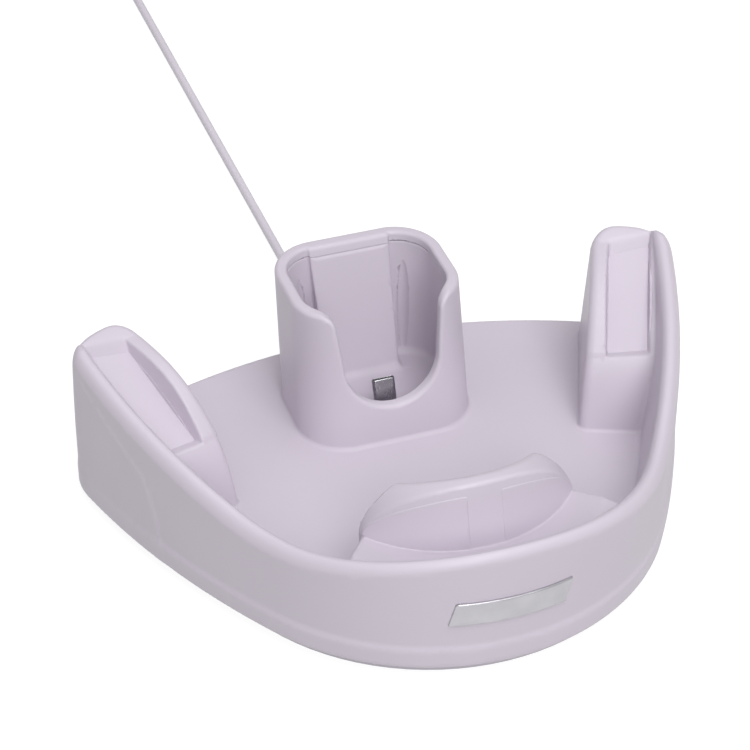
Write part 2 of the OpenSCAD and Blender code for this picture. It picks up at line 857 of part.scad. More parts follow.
module coil_tie() {
    strap = 0.8;
    low = 0.05;
    color([0.25, 0.25, 0.26]) translate([coil_x, coil_y, 0]) rotate([0, 0, -120]) difference() {
        translate([coil_in - strap, -4, low])
            cube([coil_out - coil_in + 2 * strap, 8, coil_lift + coil_h + strap - low]);
        translate([0, 0, coil_lift]) rotate_extrude() coil_section();
    }
}

usb_x = 61.5;
usb_y = 416;
usb_z = 3.8;
usb_len = 24;
usb_w = 15.4;
usb_h = 7.6;

module usb_plug_body() {
    r = 2.4;
    color([0.82, 0.79, 0.84]) translate([usb_x, usb_y, usb_z]) rotate([90, 0, 0]) linear_extrude(usb_len) {
        square([usb_w - 2 * r, usb_h], center = true);
        square([usb_w, usb_h - 2 * r], center = true);
        for (x = [-1, 1], y = [-1, 1]) translate([x * (usb_w / 2 - r), y * (usb_h / 2 - r)]) circle(r);
    }
}

usb_shell_len = 12.3;

module usb_plug_shell() {
    color("silver") translate([usb_x, usb_y - usb_len, usb_z]) rotate([90, 0, 0]) difference() {
        linear_extrude(usb_shell_len) square([12, 4.5], center = true);
        translate([0, 0, -1]) linear_extrude(usb_shell_len + 2) square([11.4, 3.9], center = true);
        for (s = [-1, 1]) translate([s * 2.9 - 1.1, 0, 5]) cube([2.2, 5, 2.4]);
    }
}

module usb_plug_insert() {
    color([0.9, 0.9, 0.9]) translate([usb_x, usb_y - usb_len, usb_z]) rotate([90, 0, 0]) difference() {
        translate([-5.7, -1.95, 0]) cube([11.4, 1.9, usb_shell_len - 0.6]);
        for (i = [-1.5 : 1.5]) translate([i * 2.3 - 0.5, -0.3, 2]) cube([1, 1, 9]);
    }
}

top_housing();
pocket_shell();
pocket_liner();
bottom_cover();
rubber_feet();
cover_screws();
left_post_pad();
right_post_pad();
left_rest_pad();
right_rest_pad();
badge();
plug_shell();
plug_insulator();
plug_contacts();
plug_carrier();
carrier_pin();
carrier_springs();
carrier_bracket();
bracket_screws();
connector_board();
board_parts();
inner_lead();
strain_relief();
cable_clamp();
clamp_screws();
ballast_plate();
ballast_tape();
cord();
cord_coil();
cord_tail();
coil_tie();
usb_plug_body();
usb_plug_shell();
usb_plug_insert();
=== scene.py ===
"""Looks of the charging stand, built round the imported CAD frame.

Blender works in metres; the shape functions and routes are in millimetres and are scaled by MM.
"""
import json
import math

import bmesh
import bpy
import numpy as np
import openvdb
from mathutils import Matrix, Vector


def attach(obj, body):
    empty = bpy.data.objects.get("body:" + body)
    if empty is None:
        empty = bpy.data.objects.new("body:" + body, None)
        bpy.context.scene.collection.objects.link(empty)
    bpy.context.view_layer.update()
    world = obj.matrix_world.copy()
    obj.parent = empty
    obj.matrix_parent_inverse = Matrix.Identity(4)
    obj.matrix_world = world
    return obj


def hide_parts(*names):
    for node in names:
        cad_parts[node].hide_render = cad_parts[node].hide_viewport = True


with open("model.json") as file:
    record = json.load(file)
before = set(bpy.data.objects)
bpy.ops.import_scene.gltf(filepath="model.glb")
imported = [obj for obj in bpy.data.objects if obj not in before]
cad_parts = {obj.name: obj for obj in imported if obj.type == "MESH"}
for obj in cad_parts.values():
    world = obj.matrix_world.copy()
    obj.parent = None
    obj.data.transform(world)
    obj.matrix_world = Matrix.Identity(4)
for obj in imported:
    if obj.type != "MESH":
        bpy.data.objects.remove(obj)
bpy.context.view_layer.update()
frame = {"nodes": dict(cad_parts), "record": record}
NODES = frame["nodes"]
MM = 0.001


# ---------------------------------------------------------------- camera
def make_camera():
    data = bpy.data.cameras.new("camera")
    data.sensor_width = 36.0
    data.lens = 128.73
    data.clip_start = 0.01
    data.clip_end = 20.0
    cam = bpy.data.objects.new("camera", data)
    bpy.context.scene.collection.objects.link(cam)
    right = Vector((0.94492, -0.32731, 0.0))
    up = Vector((0.19727, 0.56951, 0.79796))
    back = right.cross(up)
    m = Matrix.Identity(4)
    for i in range(3):
        m[i][0], m[i][1], m[i][2] = right[i], up[i], back[i]
    m[0][3], m[1][3], m[2][3] = -0.2495, -0.6729, 0.5993
    cam.matrix_world = m
    bpy.context.scene.camera = cam


make_camera()
bpy.context.scene.view_settings.view_transform = "Standard"


# ---------------------------------------------------------------- materials
def new_material(name):
    mat = bpy.data.materials.new(name)
    mat.use_nodes = True
    tree = mat.node_tree
    bsdf = next(n for n in tree.nodes if n.type == "BSDF_PRINCIPLED")
    return mat, tree, bsdf


def add(tree, kind, **values):
    node = tree.nodes.new(kind)
    for key, value in values.items():
        if key in node.inputs:
            node.inputs[key].default_value = value
        else:
            setattr(node, key.lower(), value)
    return node


def noise(tree, coord, scale, detail, rough=0.5):
    node = add(tree, "ShaderNodeTexNoise", Scale=scale, Detail=detail, Roughness=rough)
    tree.links.new(coord, node.inputs["Vector"])
    return node.outputs["Fac"]


def spread(tree, value, low, high, from_low=0.3, from_high=0.7):
    node = tree.nodes.new("ShaderNodeMapRange")
    tree.links.new(value, node.inputs["Value"])
    for key, v in (("From Min", from_low), ("From Max", from_high), ("To Min", low), ("To Max", high)):
        node.inputs[key].default_value = v
    return node.outputs["Result"]


def mix(tree, fac, a, b):
    node = tree.nodes.new("ShaderNodeMix")
    node.data_type = "RGBA"
    if isinstance(fac, float):
        node.inputs["Factor"].default_value = fac
    else:
        tree.links.new(fac, node.inputs["Factor"])
    for socket, value in ((node.inputs["A"], a), (node.inputs["B"], b)):
        if isinstance(value, tuple):
            socket.default_value = (*value, 1.0)
        else:
            tree.links.new(value, socket)
    return node.outputs["Result"]


def moulded(name, colour, rough=(0.40, 0.50), grain=0.10, grain_size=0.35, depth=0.02,
            edge_highlight_and_polish=0.12, specular=0.5, dirt=0.04):
    """Moulded plastic or rubber: spark-eroded micro texture, faint flow mottling, convex edges glossier and
    given a painted highlight (lighter colour).
    """
    mat, tree, bsdf = new_material(name)
    coord = tree.nodes.new("ShaderNodeTexCoord").outputs["Object"]
    broad = noise(tree, coord, 14.0, 3.0)
    fine = noise(tree, coord, 1000.0 / grain_size, 2.0, 0.6)
    shade = tuple(c * (1.0 - dirt) for c in colour)
    base = mix(tree, spread(tree, broad, 0.0, 1.0), colour, shade)
    point = tree.nodes.new("ShaderNodeNewGeometry").outputs["Pointiness"]
    # convex edges found by pointiness: they get a painted highlight in colour and a lower roughness
    edge = spread(tree, point, 0.0, 1.0, 0.53, 0.62)
    # painted highlight: convex edges are drawn about 8 % lighter in colour
    painted_edge_highlight = tuple(min(1.0, c * 1.08 + 0.01) for c in colour)
    edge_highlit = mix(tree, edge, base, painted_edge_highlight)
    # mix the painted edge highlight into the base colour
    edge_highlit_mix = tree.nodes.new("ShaderNodeMix")
    edge_highlit_mix.data_type = "RGBA"
    edge_highlit_mix.inputs["Factor"].default_value = edge_highlight_and_polish * 4
    tree.links.new(base, edge_highlit_mix.inputs["A"])
    tree.links.new(edge_highlit, edge_highlit_mix.inputs["B"])
    tree.links.new(edge_highlit_mix.outputs["Result"], bsdf.inputs["Base Color"])
    # real gloss: convex edges get a lower roughness
    level = spread(tree, broad, rough[0], rough[1])
    gloss = tree.nodes.new("ShaderNodeMath")
    gloss.operation = "MULTIPLY_ADD"
    tree.links.new(edge, gloss.inputs[0])
    gloss.inputs[1].default_value = -edge_highlight_and_polish
    tree.links.new(level, gloss.inputs[2])
    tree.links.new(gloss.outputs[0], bsdf.inputs["Roughness"])
    bump = add(tree, "ShaderNodeBump", Strength=grain, Distance=depth * MM)
    tree.links.new(fine, bump.inputs["Height"])
    tree.links.new(bump.outputs["Normal"], bsdf.inputs["Normal"])
    bsdf.inputs["Specular IOR Level"].default_value = specular
    return mat


def metal(name, colour, rough=(0.22, 0.34), stretch=(1.0, 1.0, 30.0), scale=60.0, bump=0.08):
    """Metal with fine drawn or brushed lines along one axis."""
    mat, tree, bsdf = new_material(name)
    coord = tree.nodes.new("ShaderNodeTexCoord").outputs["Object"]
    mapping = add(tree, "ShaderNodeMapping")
    mapping.inputs["Scale"].default_value = stretch
    tree.links.new(coord, mapping.inputs["Vector"])
    lines = noise(tree, mapping.outputs["Vector"], scale, 5.0, 0.65)
    broad = noise(tree, coord, 90.0, 3.0)
    base = mix(tree, spread(tree, broad, 0.0, 1.0), colour, tuple(c * 0.86 for c in colour))
    tree.links.new(base, bsdf.inputs["Base Color"])
    tree.links.new(spread(tree, lines, rough[0], rough[1]), bsdf.inputs["Roughness"])
    node = add(tree, "ShaderNodeBump", Strength=bump, Distance=0.01 * MM)
    tree.links.new(lines, node.inputs["Height"])
    tree.links.new(node.outputs["Normal"], bsdf.inputs["Normal"])
    bsdf.inputs["Metallic"].default_value = 1.0
    return mat


LAVENDER = (0.63, 0.575, 0.658)
MATS = {
    "housing": moulded("housing_plastic", LAVENDER),
    "liner": moulded("liner_plastic", (0.605, 0.55, 0.632), rough=(0.42, 0.52)),
    # bottom cover: the housing's lavender darkened to about 83 %, painted shade standing in for the shadow
    # under the housing's overhang
    "base": moulded("base_plastic_painted_shade", (0.52, 0.48, 0.545),
                    rough=(0.50, 0.60), grain=0.3, grain_size=0.5, depth=0.04),
    "feet": moulded("foot_rubber", (0.055, 0.055, 0.06),
                    rough=(0.70, 0.82), grain=0.4, grain_size=0.5, depth=0.05, specular=0.3),
    "screws": metal("zinc_screw", (0.62, 0.62, 0.64), stretch=(1.0, 1.0, 1.0), scale=900.0),
    "pads": moulded("pad_elastomer", (0.62, 0.565, 0.648),
                    rough=(0.52, 0.62), grain=0.2, grain_size=0.3, specular=0.4),
    "badge": metal("badge_silver", (0.52, 0.51, 0.54),
                   rough=(0.32, 0.42), stretch=(4.0, 1.0, 60.0), scale=50.0),
    "contact_shell": metal("plug_shell_steel", (0.56, 0.56, 0.58),
                           rough=(0.20, 0.30), stretch=(14.0, 14.0, 1.0), scale=160.0),
    "insulator": moulded("insulator_plastic", (0.025, 0.025, 0.028),
                         rough=(0.40, 0.50), grain=0.2, grain_size=0.2),
    "contacts": metal("gold_contact", (0.90, 0.66, 0.28), stretch=(1.0, 1.0, 1.0), scale=900.0),
    "carrier": moulded("carrier_plastic", (0.60, 0.55, 0.63)),
    "steel": metal("ground_steel", (0.62, 0.62, 0.64), stretch=(40.0, 1.0, 1.0), scale=200.0),
    "bracket": moulded("bracket_plastic", (0.55, 0.51, 0.58), grain=0.3, grain_size=0.5, depth=0.04),
    "board": moulded("board_mask", (0.02, 0.14, 0.06), rough=(0.25, 0.35), grain=0.2, grain_size=0.4),
    "chips": moulded("chip_epoxy", (0.02, 0.02, 0.022), rough=(0.5, 0.6), grain=0.3, grain_size=0.15),
    "cord": moulded("cord_jacket", (0.72, 0.67, 0.75), rough=(0.42, 0.52), grain=0.2, grain_size=0.4),
    "relief": moulded("relief_elastomer", (0.72, 0.66, 0.75),
                      rough=(0.48, 0.58), grain=0.2, grain_size=0.4),
    "ballast": metal("zinc_plate", (0.46, 0.47, 0.49),
                     rough=(0.35, 0.5), stretch=(1.0, 1.0, 1.0), scale=120.0),
    "tape": moulded("foam_tape", (0.05, 0.05, 0.05),
                    rough=(0.8, 0.9), grain=0.5, grain_size=0.6, depth=0.1, specular=0.2),
    "tie": moulded("tie_strap", (0.035, 0.035, 0.04),
                   rough=(0.55, 0.68), grain=0.5, grain_size=0.5, depth=0.06),
    "plug_body": moulded("plug_overmould", (0.72, 0.66, 0.75),
                         rough=(0.44, 0.54), grain=0.3, grain_size=0.4),
    "plug_steel": metal("usb_shell_steel", (0.62, 0.62, 0.64), stretch=(14.0, 1.0, 14.0), scale=120.0),
    "plug_insert": moulded("usb_insert_plastic", (0.74, 0.74, 0.75),
                           rough=(0.35, 0.45), grain=0.1, grain_size=0.3),
}
SLOT_OF = {s["node"]: s["material_slot"] for s in frame["record"]["subparts"]}
for node_name, node_obj in NODES.items():
    node_obj.data.materials.clear()
    node_obj.data.materials.append(MATS[SLOT_OF[node_name]])


# ---------------------------------------------------------------- cord
D, CORD_Z = 3.6, 6.4
ROUTE = [(0, 112, 6.4), (0, 118, 6.3), (0, 128, 5.2), (0, 140, 3), (0, 152, 1.9), (0, 166, 1.8),
         (0, 190, 1.8), (0, 220, 1.8), (0, 250, 1.8), (0, 285, 1.8), (0, 320, 1.8), (0, 350, 1.8),
         (0, 376, 1.8), (0, 394, 2.4), (0, 408, 4.4), (0, 420, 6), (0, 428, 6.3)]
TAIL = [(27, 455, 2.7), (34, 454.5, 2.5), (43, 452, 2.1), (51, 447, 2), (57, 440, 2.3), (60.5, 431, 3),
        (61.5, 422, 3.6), (61.5, 416, 3.8)]
COIL_X, COIL_Y = 27.0, 428.0


def smooth_line(points, n):
    p = np.array(points, float)
    out = []
    for i in range(len(p) - 1):
        a, b, c, d = p[max(i - 1, 0)], p[i], p[i + 1], p[min(i + 2, len(p) - 1)]
        for k in range(n):
            t = k / n
            bend = (2 * a - 5 * b + 4 * c - d) * t * t + (3 * b - a - 3 * c + d) * t ** 3
            out.append(0.5 * (2 * b + (c - a) * t + bend))
    out.append(p[-1])
    return out


def coil_line():
    """Three turns inwards on the top row, the inmost turn down, then outwards on the bottom row."""
    jogs = [(255 + 360 * i, r0, r1) for i, (r0, r1) in enumerate([(27.0, 23.4), (23.4, 19.8), (19.8, 16.2),
                                                                 (16.2, 19.8), (19.8, 23.4), (23.4, 27.0)])]
    out = []
    for turn in range(10, 2250, 10):
        r = 27.0
        for start, r0, r1 in jogs:
            f = min(1.0, max(0.0, (turn - start) / 90.0))
            if f > 0:
                r = r0 + (r1 - r0) * f * f * (3 - 2 * f)
        f = min(1.0, max(0.0, (turn - 1070) / 110.0))
        z = 6.3 - 3.6 * f * f * (3 - 2 * f)
        a = math.radians(turn)
        out.append(np.array((COIL_X - r * math.cos(a), COIL_Y + r * math.sin(a), z)))
    return out


def make_cord():
    line = smooth_line(ROUTE, 2) + coil_line() + smooth_line(TAIL, 2)
    length = sum(np.linalg.norm(b - a) for a, b in zip(line, line[1:]))
    curve = bpy.data.curves.new("cord_jacket", "CURVE")
    curve.dimensions = "3D"
    curve.bevel_depth = D / 2 * MM
    curve.bevel_resolution = 5
    curve.use_fill_caps = True
    spline = curve.splines.new("POLY")
    spline.points.add(len(line) - 1)
    for point, p in zip(spline.points, line):
        point.co = (p[0] * MM, p[1] * MM, p[2] * MM, 1.0)
    spline.use_smooth = True
    obj = bpy.data.objects.new("cord_jacket", curve)
    bpy.context.scene.collection.objects.link(obj)
    curve.materials.append(MATS["cord"])
    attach(obj, "dock")
    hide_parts("cord", "cord_coil", "cord_tail")
    return obj, length * MM


cord_obj, cord_length = make_cord()


# ---------------------------------------------------------------- shape functions (signed distances, mm)
def rmax(a, b, r):
    """Overlap of two solids with an edge of radius r."""
    return np.minimum(np.maximum(a, b), -r) + np.hypot(np.maximum(a + r, 0), np.maximum(b + r, 0))


def rmin(a, b, r):
    """Union of two solids with a fillet of radius r."""
    return np.maximum(np.minimum(a, b), r) - np.hypot(np.maximum(r - a, 0), np.maximum(r - b, 0))


def cut(a, b, r):
    """Solid a less solid b, with an edge of radius r."""
    return rmax(a, -b, r)


def on_arc(c, r, a):
    return (c[0] + r * math.sin(math.radians(a)), c[1] - r * math.cos(math.radians(a)))


DEPTH, FRONT_R, FRONT_TURN, FLANK_R, FLANK_TURN, REAR_R = 174.0, 82.0, 56.0, 300.0, 74.5, 217.0
SKIRT_Z, DECK_Z, SKIN, RIM_TOP, FOOT_W = 5.0, 12.5, 2.5, 63.5, 11.5
FRONT_C = (0.0, -DEPTH / 2 + FRONT_R)
FLANK_C = on_arc(FRONT_C, FRONT_R - FLANK_R, FRONT_TURN)
REAR_C = (0.0, DEPTH / 2 - REAR_R)
FLANK_END = on_arc(FLANK_C, FLANK_R, FLANK_TURN)
FLANK_N = (math.sin(math.radians(FLANK_TURN)), -math.cos(math.radians(FLANK_TURN)))


def corner_arc():
    b = (FLANK_END[0] - REAR_C[0], FLANK_END[1] - REAR_C[1])
    k = -b[0] * FLANK_N[0] - b[1] * FLANK_N[1]
    r = (REAR_R ** 2 - b[0] ** 2 - b[1] ** 2) / (2 * (k + REAR_R))
    c = on_arc(FLANK_C, FLANK_R - r, FLANK_TURN)
    return c, r, 90 + math.degrees(math.atan2(c[1] - REAR_C[1], c[0] - REAR_C[0]))


CORNER_C, CORNER_R, CORNER_TURN = corner_arc()


def heading(x, y, c):
    return np.degrees(np.arctan2(x - c[0], -(y - c[1]))) % 360


def plan(x, y):
    """Distance to the stand's outline, for x >= 0; negative inside."""
    past_front = heading(x, y, FRONT_C) > FRONT_TURN
    past_flank = past_front & (heading(x, y, FLANK_C) > FLANK_TURN)
    past_corner = past_flank & (heading(x, y, CORNER_C) > CORNER_TURN)
    d = np.hypot(x - FRONT_C[0], y - FRONT_C[1]) - FRONT_R
    d = np.where(past_front, np.hypot(x - FLANK_C[0], y - FLANK_C[1]) - FLANK_R, d)
    d = np.where(past_flank, np.hypot(x - CORNER_C[0], y - CORNER_C[1]) - CORNER_R, d)
    return np.where(past_corner, np.hypot(x - REAR_C[0], y - REAR_C[1]) - REAR_R, d)


def open_plan(x, y):
    """As plan, with the flanks running straight on past the rear corners."""
    past_front = heading(x, y, FRONT_C) > FRONT_TURN
    past_flank = past_front & (heading(x, y, FLANK_C) > FLANK_TURN)
    d = np.hypot(x - FRONT_C[0], y - FRONT_C[1]) - FRONT_R
    d = np.where(past_front, np.hypot(x - FLANK_C[0], y - FLANK_C[1]) - FLANK_R, d)
    return np.where(past_flank, (x - FLANK_END[0]) * FLANK_N[0] + (y - FLANK_END[1]) * FLANK_N[1], d)


def rim_at(y):
    return 40.0 + 0.0069 * (np.minimum(y, -31.0) + 50.0) ** 2 + 0.2622 * np.maximum(0.0, y + 31.0)


POST_TURN, POST_X, POST_Y, POST_LEN, BACK_SLOPE = math.radians(22.5), 66.0, 10.8, 61.5, 0.17
RAMP, RAMP_Y, RAMP_Z = math.radians(27.0), 2.5, 38.0
RECESS_D, PAD_T = 4.5, 1.5
LIP_H, LIP_LEN, POST_FOOT = 5.6, 46.0, 8.0


def post_frame(x, y):
    c, s = math.cos(POST_TURN), math.sin(POST_TURN)
    return (x - POST_X) * c - (y - POST_Y) * s, (x - POST_X) * s + (y - POST_Y) * c


def ramp_frame(x, y, z):
    """x across, y up the ramp, z out of the ramp."""
    px, py = post_frame(x, y)
    c, s = math.cos(RAMP), math.sin(RAMP)
    return px, (py - RAMP_Y) * c + (z - RAMP_Z) * s, (z - RAMP_Z) * c - (py - RAMP_Y) * s


def ramp_axes():
    """Rows: the ramp frame's axes in the stand's frame, and its origin."""
    c, s, cr, sr = math.cos(POST_TURN), math.sin(POST_TURN), math.cos(RAMP), math.sin(RAMP)
    rows = np.array([(c, -s, 0), (s * cr, c * cr, sr), (-s * sr, -c * sr, cr)])
    return rows, np.array((POST_X + s * RAMP_Y, POST_Y + c * RAMP_Y, RAMP_Z))


def post_parts(x, y, z):
    px, py = post_frame(x, y)
    side = -(px + 2.1 - 0.05 * (z - DECK_Z))
    back = (py - POST_LEN + (z - DECK_Z) * BACK_SLOPE) * 0.986
    ramp = (z - RAMP_Z) * math.cos(RAMP) - (py - RAMP_Y) * math.sin(RAMP)
    front = -(py + POST_FOOT)
    return side, back, ramp, front


INNER_WALL, OUTER_WALL, WALL_DRAFT = 6.4, 21.5, 0.12


def recess(rx, ry, rz):
    """Space for the pad in a post, in the ramp's frame: flat floor, steep sides, sloping ends."""
    low = 6.0 + 0.12 * (rx - 6.5) - (rz + RECESS_D) * 1.1
    high = 41.5 + 0.30 * (rx - 6.6) + (rz + RECESS_D) * 1.4
    ends = np.maximum((low - ry) * 0.67, (ry - high) * 0.57)
    sides = np.maximum(INNER_WALL - WALL_DRAFT * rz - rx, rx - OUTER_WALL - WALL_DRAFT * rz)
    return rmax(rmax(ends, sides, 0.5), -(rz + RECESS_D), 0.5)


def ramp_top(rx, ry, rz):
    """Ramp with a raised lip along its inner side, turned down to the deck in front."""
    along = math.pi * np.clip((ry - 1.0) / LIP_LEN, 0, 1)
    lip = LIP_H * np.sin(along) * np.clip((10.0 - rx) / 4.0, 0, 1)
    ahead = np.maximum(0.0, 3.0 - ry)
    steep = 0.355 * ahead ** 0.42
    return (rz - lip + 0.25 * ahead ** 1.42) / np.sqrt(1 + steep ** 2)


REST_C, REST_R, REST_HALF, SHELF_Z, REST_Z = -18.5, 46.0, 37.0, 34.0, 56.5
REST_LEAN, REST_FOOT_R, REST_BACK_R = 0.25, 24.0, 34.0


def rest_top(x):
    t = np.clip(np.abs(x) / REST_HALF, 0, 1)
    return SHELF_Z + (REST_Z - SHELF_Z) * np.maximum(0.0, 1 - t ** 2.3) ** 0.68


def rest(x, y, z):
    """Front rest: a wall on an arc, leaning back, its back a cone down to the deck."""
    rr = np.hypot(x, y - REST_C)
    front = (rr - REST_R + REST_LEAN * (z - SHELF_Z)) * 0.97
    rise = (z - DECK_Z) / (REST_Z - DECK_Z)
    back = -(rr - (REST_FOOT_R + rise * (REST_BACK_R - REST_FOOT_R))) * 0.97
    slope = 0.75 + 0.25 * np.sqrt(np.maximum(0.0, 1 - np.clip(np.abs(x) / REST_HALF, 0, 1) ** 4))
    top = (z - rest_top(x)) * slope
    body = rmax(rmax(front, top, 0.9), back, 3.4)
    body = np.maximum(body, (y - REST_C) + 24.0)
    side = np.abs(x) - REST_HALF
    return rmax(body, side, 1.0)


def shelf(x, y, z):
    """Ledge between the rest and the front wall, ending behind in a straight crease."""
    level = SHELF_Z + 3.0 * np.clip((np.hypot(x, y - REST_C) - REST_R) / 12.0, 0, 1)
    crease = (y + 46.3 + 1.41 * np.maximum(0, np.abs(x) - REST_HALF)) * 0.60 + (z - SHELF_Z) * 0.10
    behind = -(np.hypot(x, y - REST_C) - 34.0)
    return np.maximum(rmax(z - level, crease, 1.0), behind)


POCKET_W, POCKET_D, POCKET_R, POCKET_Y, POCKET_TOP, LEAN = 62.0, 48.5, 17.0, 22.5, 62.5, math.radians(11.0)
DRAFT = 0.022
SHELL_T, LINER_GAP, LINER_T, LINER_TOP, LINER_FLOOR = 2.6, 0.15, 1.6, 59.0, 15.5
ROOM_IN = SHELL_T + LINER_GAP + LINER_T
CUT_R, CUT_Z, CUT_BACK = 17.4, 26.1, 52.0
PANEL_HALF, FLUTE_X, FLUTE_Z, FLUTE_HALF, FLUTE_DEEP = 15.0, 20.2, 34.0, 18.0, 0.9
PLUG_LEAN, PIN_Y, PIN_Z, PLUG_TIP = math.radians(20.0), 32.2, 9.6, 19.8


def pocket(x, y, z):
    """Distance to the pocket's outer wall."""
    c, s = math.cos(LEAN), math.sin(LEAN)
    py = (y - POCKET_Y) * c - (z - DECK_Z) * s - POCKET_D / 2
    qx = np.abs(x) - POCKET_W / 2 + POCKET_R + DRAFT * (z - 42.0)
    qy = np.abs(py) - POCKET_D / 2 + POCKET_R
    return np.hypot(np.maximum(qx, 0), np.maximum(qy, 0)) + np.minimum(np.maximum(qx, qy), 0) - POCKET_R


def panel(y, z):
    """Distance in front of (negative) or behind the pocket's flat back panel."""
    return (y - 76.6) * math.cos(PLUG_LEAN) - (z - 63.0) * math.sin(PLUG_LEAN)


def pocket_room(x, y, z):
    """Hollow of the pocket: round sides, a flat raised back panel, shallow spindle flutes beside it."""
    out = pocket(x, y, z)
    block = rmax(np.abs(x) - PANEL_HALF + 0.03 * (63.0 - z), -panel(y, z), 0.7)
    room = cut(out + ROOM_IN, block, 0.8)
    side = np.abs(x) - FLUTE_X + 0.05 * (63.0 - z)
    side = np.where(y < CUT_BACK + 3.0, 99.0, side)
    up = (z - FLUTE_Z) / FLUTE_HALF
    deep = (out + ROOM_IN) / FLUTE_DEEP
    flute = (np.sqrt((side / 1.9) ** 2 + deep ** 2 + up ** 2) - 1) * FLUTE_DEEP
    return np.minimum(room, flute)


def cut_outline(x, z):
    mid = CUT_Z + CUT_R
    return np.where(z < mid, np.hypot(x, z - mid) - CUT_R, np.abs(x) - CUT_R - 0.11 * (z - mid))


def pocket_shell(x, y, z):
    hole = cut_outline(x, z)
    top = np.where(y < CUT_BACK, rmax(z - POCKET_TOP, -hole, 4.5), z - POCKET_TOP)
    body = rmax(pocket(x, y, z), top, 1.5)
    body = cut(body, pocket_room(x, y, z), 1.2)
    seam = 0.2 * np.clip(np.abs(x) - PANEL_HALF, 0, 1)
    below = np.maximum(pocket(x, y, z) + SHELL_T, z - LINER_TOP - seam)
    rebate = np.maximum(below, np.where(y < CUT_BACK, 4.0 - hole, -9.0))
    return np.maximum(np.maximum(body, -rebate), 9.0 - z)


def plug_frame(y, z):
    c, s = math.cos(PLUG_LEAN), math.sin(PLUG_LEAN)
    return (y - PIN_Y) * c - (z - PIN_Z) * s, (y - PIN_Y) * s + (z - PIN_Z) * c


def pocket_liner(x, y, z):
    room = rmax(pocket_room(x, y, z), LINER_FLOOR - z, 2.5)
    ends = np.maximum(z - LINER_TOP, LINER_FLOOR - LINER_T - z)
    body = np.maximum(pocket(x, y, z) + SHELL_T + LINER_GAP, ends)
    body = rmax(body, -room, 0.3)
    hole = np.where(y < CUT_BACK, 4.2 - cut_outline(x, z), -9.0)
    body = np.maximum(body, hole)
    core = np.maximum(np.maximum(np.abs(x) - 13.0, LINER_T - panel(y, z)), LINER_FLOOR + 2 - z)
    body = np.maximum(body, -core)
    py, pz = plug_frame(y, z)
    window = rmax(np.abs(x) - 7.2, np.abs(py) - 4.8, 1.2)
    return cut(body, window, 0.4)


def housing_outer(x, y, z):
    x = np.abs(x)
    edge = plan(x, y)
    side, back, ramp, front = post_parts(x, y, z)
    body = rmax(edge, z - DECK_Z, 1.2)
    # wall round the bowl, its rim 6 mm wide and a little crowned
    ends = rmax(edge, back, 9.5)
    rise = rim_at(y)
    t = np.clip((-edge) / 6.5, 0, 1)
    crest = np.minimum(rise + 0.6 + 1.3 * np.sin(math.pi * np.clip(t, 0, 1)), RIM_TOP)
    top = (z - crest) * 0.97
    width = 6.3 + (FOOT_W - 6.3) * np.clip((rise - z) / (rise - DECK_Z), -0.2, 1.2)
    inner = (-open_plan(x, y) - width) * 0.99
    wall = rmax(rmax(ends, top, 3.2), inner, 1.8)
    body = rmin(body, wall, 2.0)
    # rest and shelf
    inside = np.maximum(rest(x, y, z), edge)
    ledge = np.maximum(shelf(x, y, z), edge + 3.0)
    body = rmin(body, inside, 5.0)
    body = rmin(body, ledge, 0.8)
    # posts
    post = rmax(rmax(side, back, 10.5), rmax(edge, back, 9.5), 2.0)
    post = rmax(post, rmax(ramp_top(*ramp_frame(x, y, z)), z - RIM_TOP, 3.0), 3.0)
    post = rmax(post, front, 1.0)
    body = rmin(body, post, 1.2)
    body = cut(body, recess(*ramp_frame(x, y, z)), 0.8)
    # small fillet round the pocket
    foot = np.maximum(rmin(z - DECK_Z, pocket(x, y, z) + 0.03, 1.6), z - 14.4)
    foot = np.maximum(foot, pocket(x, y, z) - 3.0)
    return np.minimum(body, foot)


BOSS_R = 3.5
BOSS_AT = [(0, -75), (62, -24), (-62, -24), (55, 24), (-55, 24), (58, 64), (-58, 64)]


def housing(x, y, z):
    outer = housing_outer(x, y, z)
    shell = np.maximum(outer, -(outer + SKIN))
    boss = None
    for bx, by in BOSS_AT:
        d = np.hypot(x - bx, y - by) - BOSS_R
        boss = d if boss is None else np.minimum(boss, d)
    bored = np.maximum(boss, 1.35 - boss - BOSS_R)
    shell = np.minimum(shell, np.maximum(bored, z - DECK_Z + 1.5))
    shell = np.maximum(shell, -np.maximum(pocket(x, y, z) + 1.2, z - 30.0))
    shell = np.maximum(shell, -np.maximum(np.hypot(x, z - 6.4) - 3.1, 70.0 - y))
    return rmax(shell, SKIRT_Z - z, 1.0)


def post_pad(rx, ry, rz):
    """Soft pad on the recess floor, in the ramp's frame; thin lens-shaped wings run up the side walls."""
    body = rmax(recess(rx, ry, rz) - 0.1, rz + RECESS_D - PAD_T, 0.15)
    inner = rx - INNER_WALL + WALL_DRAFT * rz
    outer = OUTER_WALL + WALL_DRAFT * rz - rx
    for off_wall, height in ((inner, 3.0), (outer, 5.2)):
        lens = (np.hypot((ry - 24.0) / 18.5, (rz + RECESS_D) / height) - 1) * height
        body = np.minimum(body, np.maximum(lens, np.abs(off_wall + 0.2) - 0.36))
    return np.maximum(body, -(rz + RECESS_D))


def rest_pad(x, y, z):
    rr = np.hypot(x, y - REST_C)
    rr = rr + REST_LEAN * (z - SHELF_Z)
    face = np.maximum(rr - REST_R - 0.15, REST_R - 1.0 - rr)
    top = SHELF_Z + (rest_top(x) - SHELF_Z) * 0.84
    edge = rmax(np.maximum((z - top) * 0.8, SHELF_Z + 0.3 - z), 5.8 - np.abs(x), 0.8)
    return np.maximum(rmax(face, edge, 0.3), y + 36.0)


